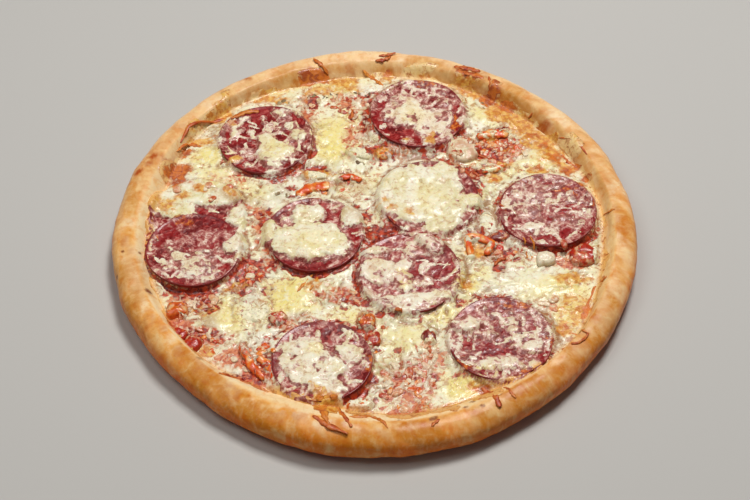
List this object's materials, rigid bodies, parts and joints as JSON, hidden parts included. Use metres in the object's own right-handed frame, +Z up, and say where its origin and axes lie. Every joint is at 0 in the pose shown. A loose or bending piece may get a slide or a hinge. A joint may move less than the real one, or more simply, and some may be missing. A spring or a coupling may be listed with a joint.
{
  "type": "sausage pizza",
  "caption": "Whole round pizza with a raised browned rim, melted cheese, sausage slices, and chunks of tomato, pepper and mushroom. Lies flat on its underside.",
  "frame": {"origin": "centre of the underside, on the surface that the pizza lies on", "axes": "+Z up, +Y to the far side of the pizza as pictured, +X to its right"},
  "size_m": [0.3016, 0.2994, 0.0199],
  "materials": {
    "crust": "baked dough, golden tan with browner patches on top of the rim, soft gloss",
    "cheese": "melted cheese, pale ivory to yellow with amber baked spots, moist gloss",
    "sausage": "cured sausage, dark rose red with pale fat specks and a darker casing, oily gloss",
    "tomato": "baked tomato, red to orange, wet gloss",
    "pepper": "baked orange pepper, wet gloss",
    "mushroom": "baked mushroom, grey-beige with dark gills, half under cheese"
  },
  "bodies": {
    "root": {"sausage_slice_10": "sausage", "sausage_slice_1": "sausage", "sausage_slice_2": "sausage", "sausage_slice_3": "sausage", "sausage_slice_4": "sausage", "sausage_slice_5": "sausage", "sausage_slice_6": "sausage", "sausage_slice_7": "sausage", "sausage_slice_8": "sausage", "sausage_slice_9": "sausage", "tomato_chunk_1": "tomato", "tomato_chunk_2": "tomato", "tomato_chunk_3": "tomato", "tomato_chunk_4": "tomato", "tomato_chunk_5": "tomato", "tomato_chunk_6": "tomato", "tomato_chunk_7": "tomato", "tomato_chunk_8": "tomato", "tomato_chunk_9": "tomato", "tomato_chunk_10": "tomato", "tomato_wedge": "tomato", "tomato_chunk_11": "tomato", "cheese_chunk": "cheese", "cheese_mound": "cheese", "mushroom_slice_1": "mushroom", "mushroom_slice_2": "mushroom", "mushroom_slice_3": "mushroom", "mushroom_slice_4": "mushroom", "mushroom_slice_5": "mushroom", "pepper_strip_1": "pepper", "pepper_strip_2": "pepper", "pepper_strip_3": "pepper", "pepper_strip_4": "pepper", "pepper_strip_5": "pepper", "pepper_strip_6": "pepper", "pepper_ring": "pepper", "cheese_patch_1": "cheese", "cheese_patch_2": "cheese", "cheese_patch_3": "cheese", "cheese_patch_4": "cheese", "cheese_patch_5": "cheese", "cheese_patch_6": "cheese", "cheese_patch_7": "cheese", "cheese_patch_8": "cheese", "cheese_patch_9": "cheese", "cheese_patch_10": "cheese", "cheese_patch_11": "cheese", "cheese_patch_12": "cheese", "cheese_patch_13": "cheese", "cheese_patch_14": "cheese", "cheese_patch_15": "cheese", "crust": "crust", "crust_base": "crust", "cheese_layer": "cheese"}
  },
  "joints": []
}
